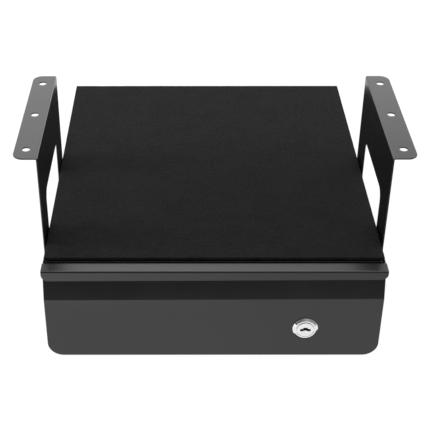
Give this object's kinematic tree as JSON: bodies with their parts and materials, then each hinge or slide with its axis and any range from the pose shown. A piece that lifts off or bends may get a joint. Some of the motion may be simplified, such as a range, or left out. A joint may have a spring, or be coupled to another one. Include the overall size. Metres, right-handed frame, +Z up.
{
  "type": "under desk drawer safe",
  "caption": "Locking steel drawer on ball bearing runners inside a sleeve that hangs under a desk from two side brackets, with a felt mat on top.",
  "frame": {"origin": "middle of the flat underside of the sleeve, half way along the top plate's depth", "axes": "+X to the right seen from the drawer front, +Y from the drawer front to the back, +Z up towards the desk"},
  "size_m": [0.3438, 0.3521, 0.1904],
  "materials": {
    "black_paint": "satin black powder coat",
    "felt": "matt black needle felt",
    "zinc": "zinc plated",
    "black_screw": "black oxide",
    "chrome": "polished"
  },
  "bodies": {
    "sleeve": {"housing_shell": "black_paint", "top_plate": "black_paint", "rear_panel": "black_paint", "top_mat": "felt", "lock_keeper": "zinc", "keeper_rivet_1": "zinc", "keeper_rivet_2": "zinc", "left_bracket": "black_paint", "left_bracket_screw_1": "black_screw", "left_bracket_screw_2": "black_screw", "left_bracket_screw_3": "black_screw", "left_bracket_screw_4": "black_screw", "left_outer_member": "zinc", "left_sleeve_screw_1": "zinc", "left_sleeve_screw_2": "zinc", "right_bracket": "black_paint", "right_bracket_screw_1": "black_screw", "right_bracket_screw_2": "black_screw", "right_bracket_screw_3": "black_screw", "right_bracket_screw_4": "black_screw", "right_outer_member": "zinc", "right_sleeve_screw_1": "zinc", "right_sleeve_screw_2": "zinc"},
    "drawer": {"drawer_front": "black_paint", "drawer_tray": "black_paint", "drawer_liner": "felt", "lock_barrel": "chrome", "lock_nut": "zinc", "left_drawer_member": "zinc", "left_tray_screw_1": "zinc", "left_tray_screw_2": "zinc", "left_front_nut_1": "zinc", "left_front_nut_2": "zinc", "right_drawer_member": "zinc", "right_tray_screw_1": "zinc", "right_tray_screw_2": "zinc", "right_front_nut_1": "zinc", "right_front_nut_2": "zinc"},
    "middle_members": {"left_middle_member": "zinc", "right_middle_member": "zinc"},
    "outer_cages": {"left_outer_cage": "zinc", "right_outer_cage": "zinc"},
    "inner_cages": {"left_inner_cage": "zinc", "right_inner_cage": "zinc"},
    "lock": {"lock_plug": "chrome", "lock_cam": "zinc", "cam_screw": "zinc"}
  },
  "joints": [
    {"name": "drawer_slide", "type": "slide", "parent": "sleeve", "child": "drawer", "axis": [0, -1, 0], "range_m": [0, 0.28]},
    {"name": "middle_member_slide", "type": "slide", "parent": "sleeve", "child": "middle_members", "axis": [0, -1, 0], "range_m": [0, 0.14]},
    {"name": "outer_cage_slide", "type": "slide", "parent": "sleeve", "child": "outer_cages", "axis": [0, -1, 0], "range_m": [0, 0.07]},
    {"name": "inner_cage_slide", "type": "slide", "parent": "sleeve", "child": "inner_cages", "axis": [0, -1, 0], "range_m": [0, 0.21]},
    {"name": "lock_turn", "type": "hinge", "parent": "drawer", "child": "lock", "pos_m": [0.0827, -0.1795, 0.0328], "axis": [0, 1, 0], "range_deg": [0, 90]}
  ],
  "couplings": [
    {"joint": "middle_member_slide", "follows": "drawer_slide", "ratio": 0.5},
    {"joint": "outer_cage_slide", "follows": "drawer_slide", "ratio": 0.25},
    {"joint": "inner_cage_slide", "follows": "drawer_slide", "ratio": 0.75}
  ]
}
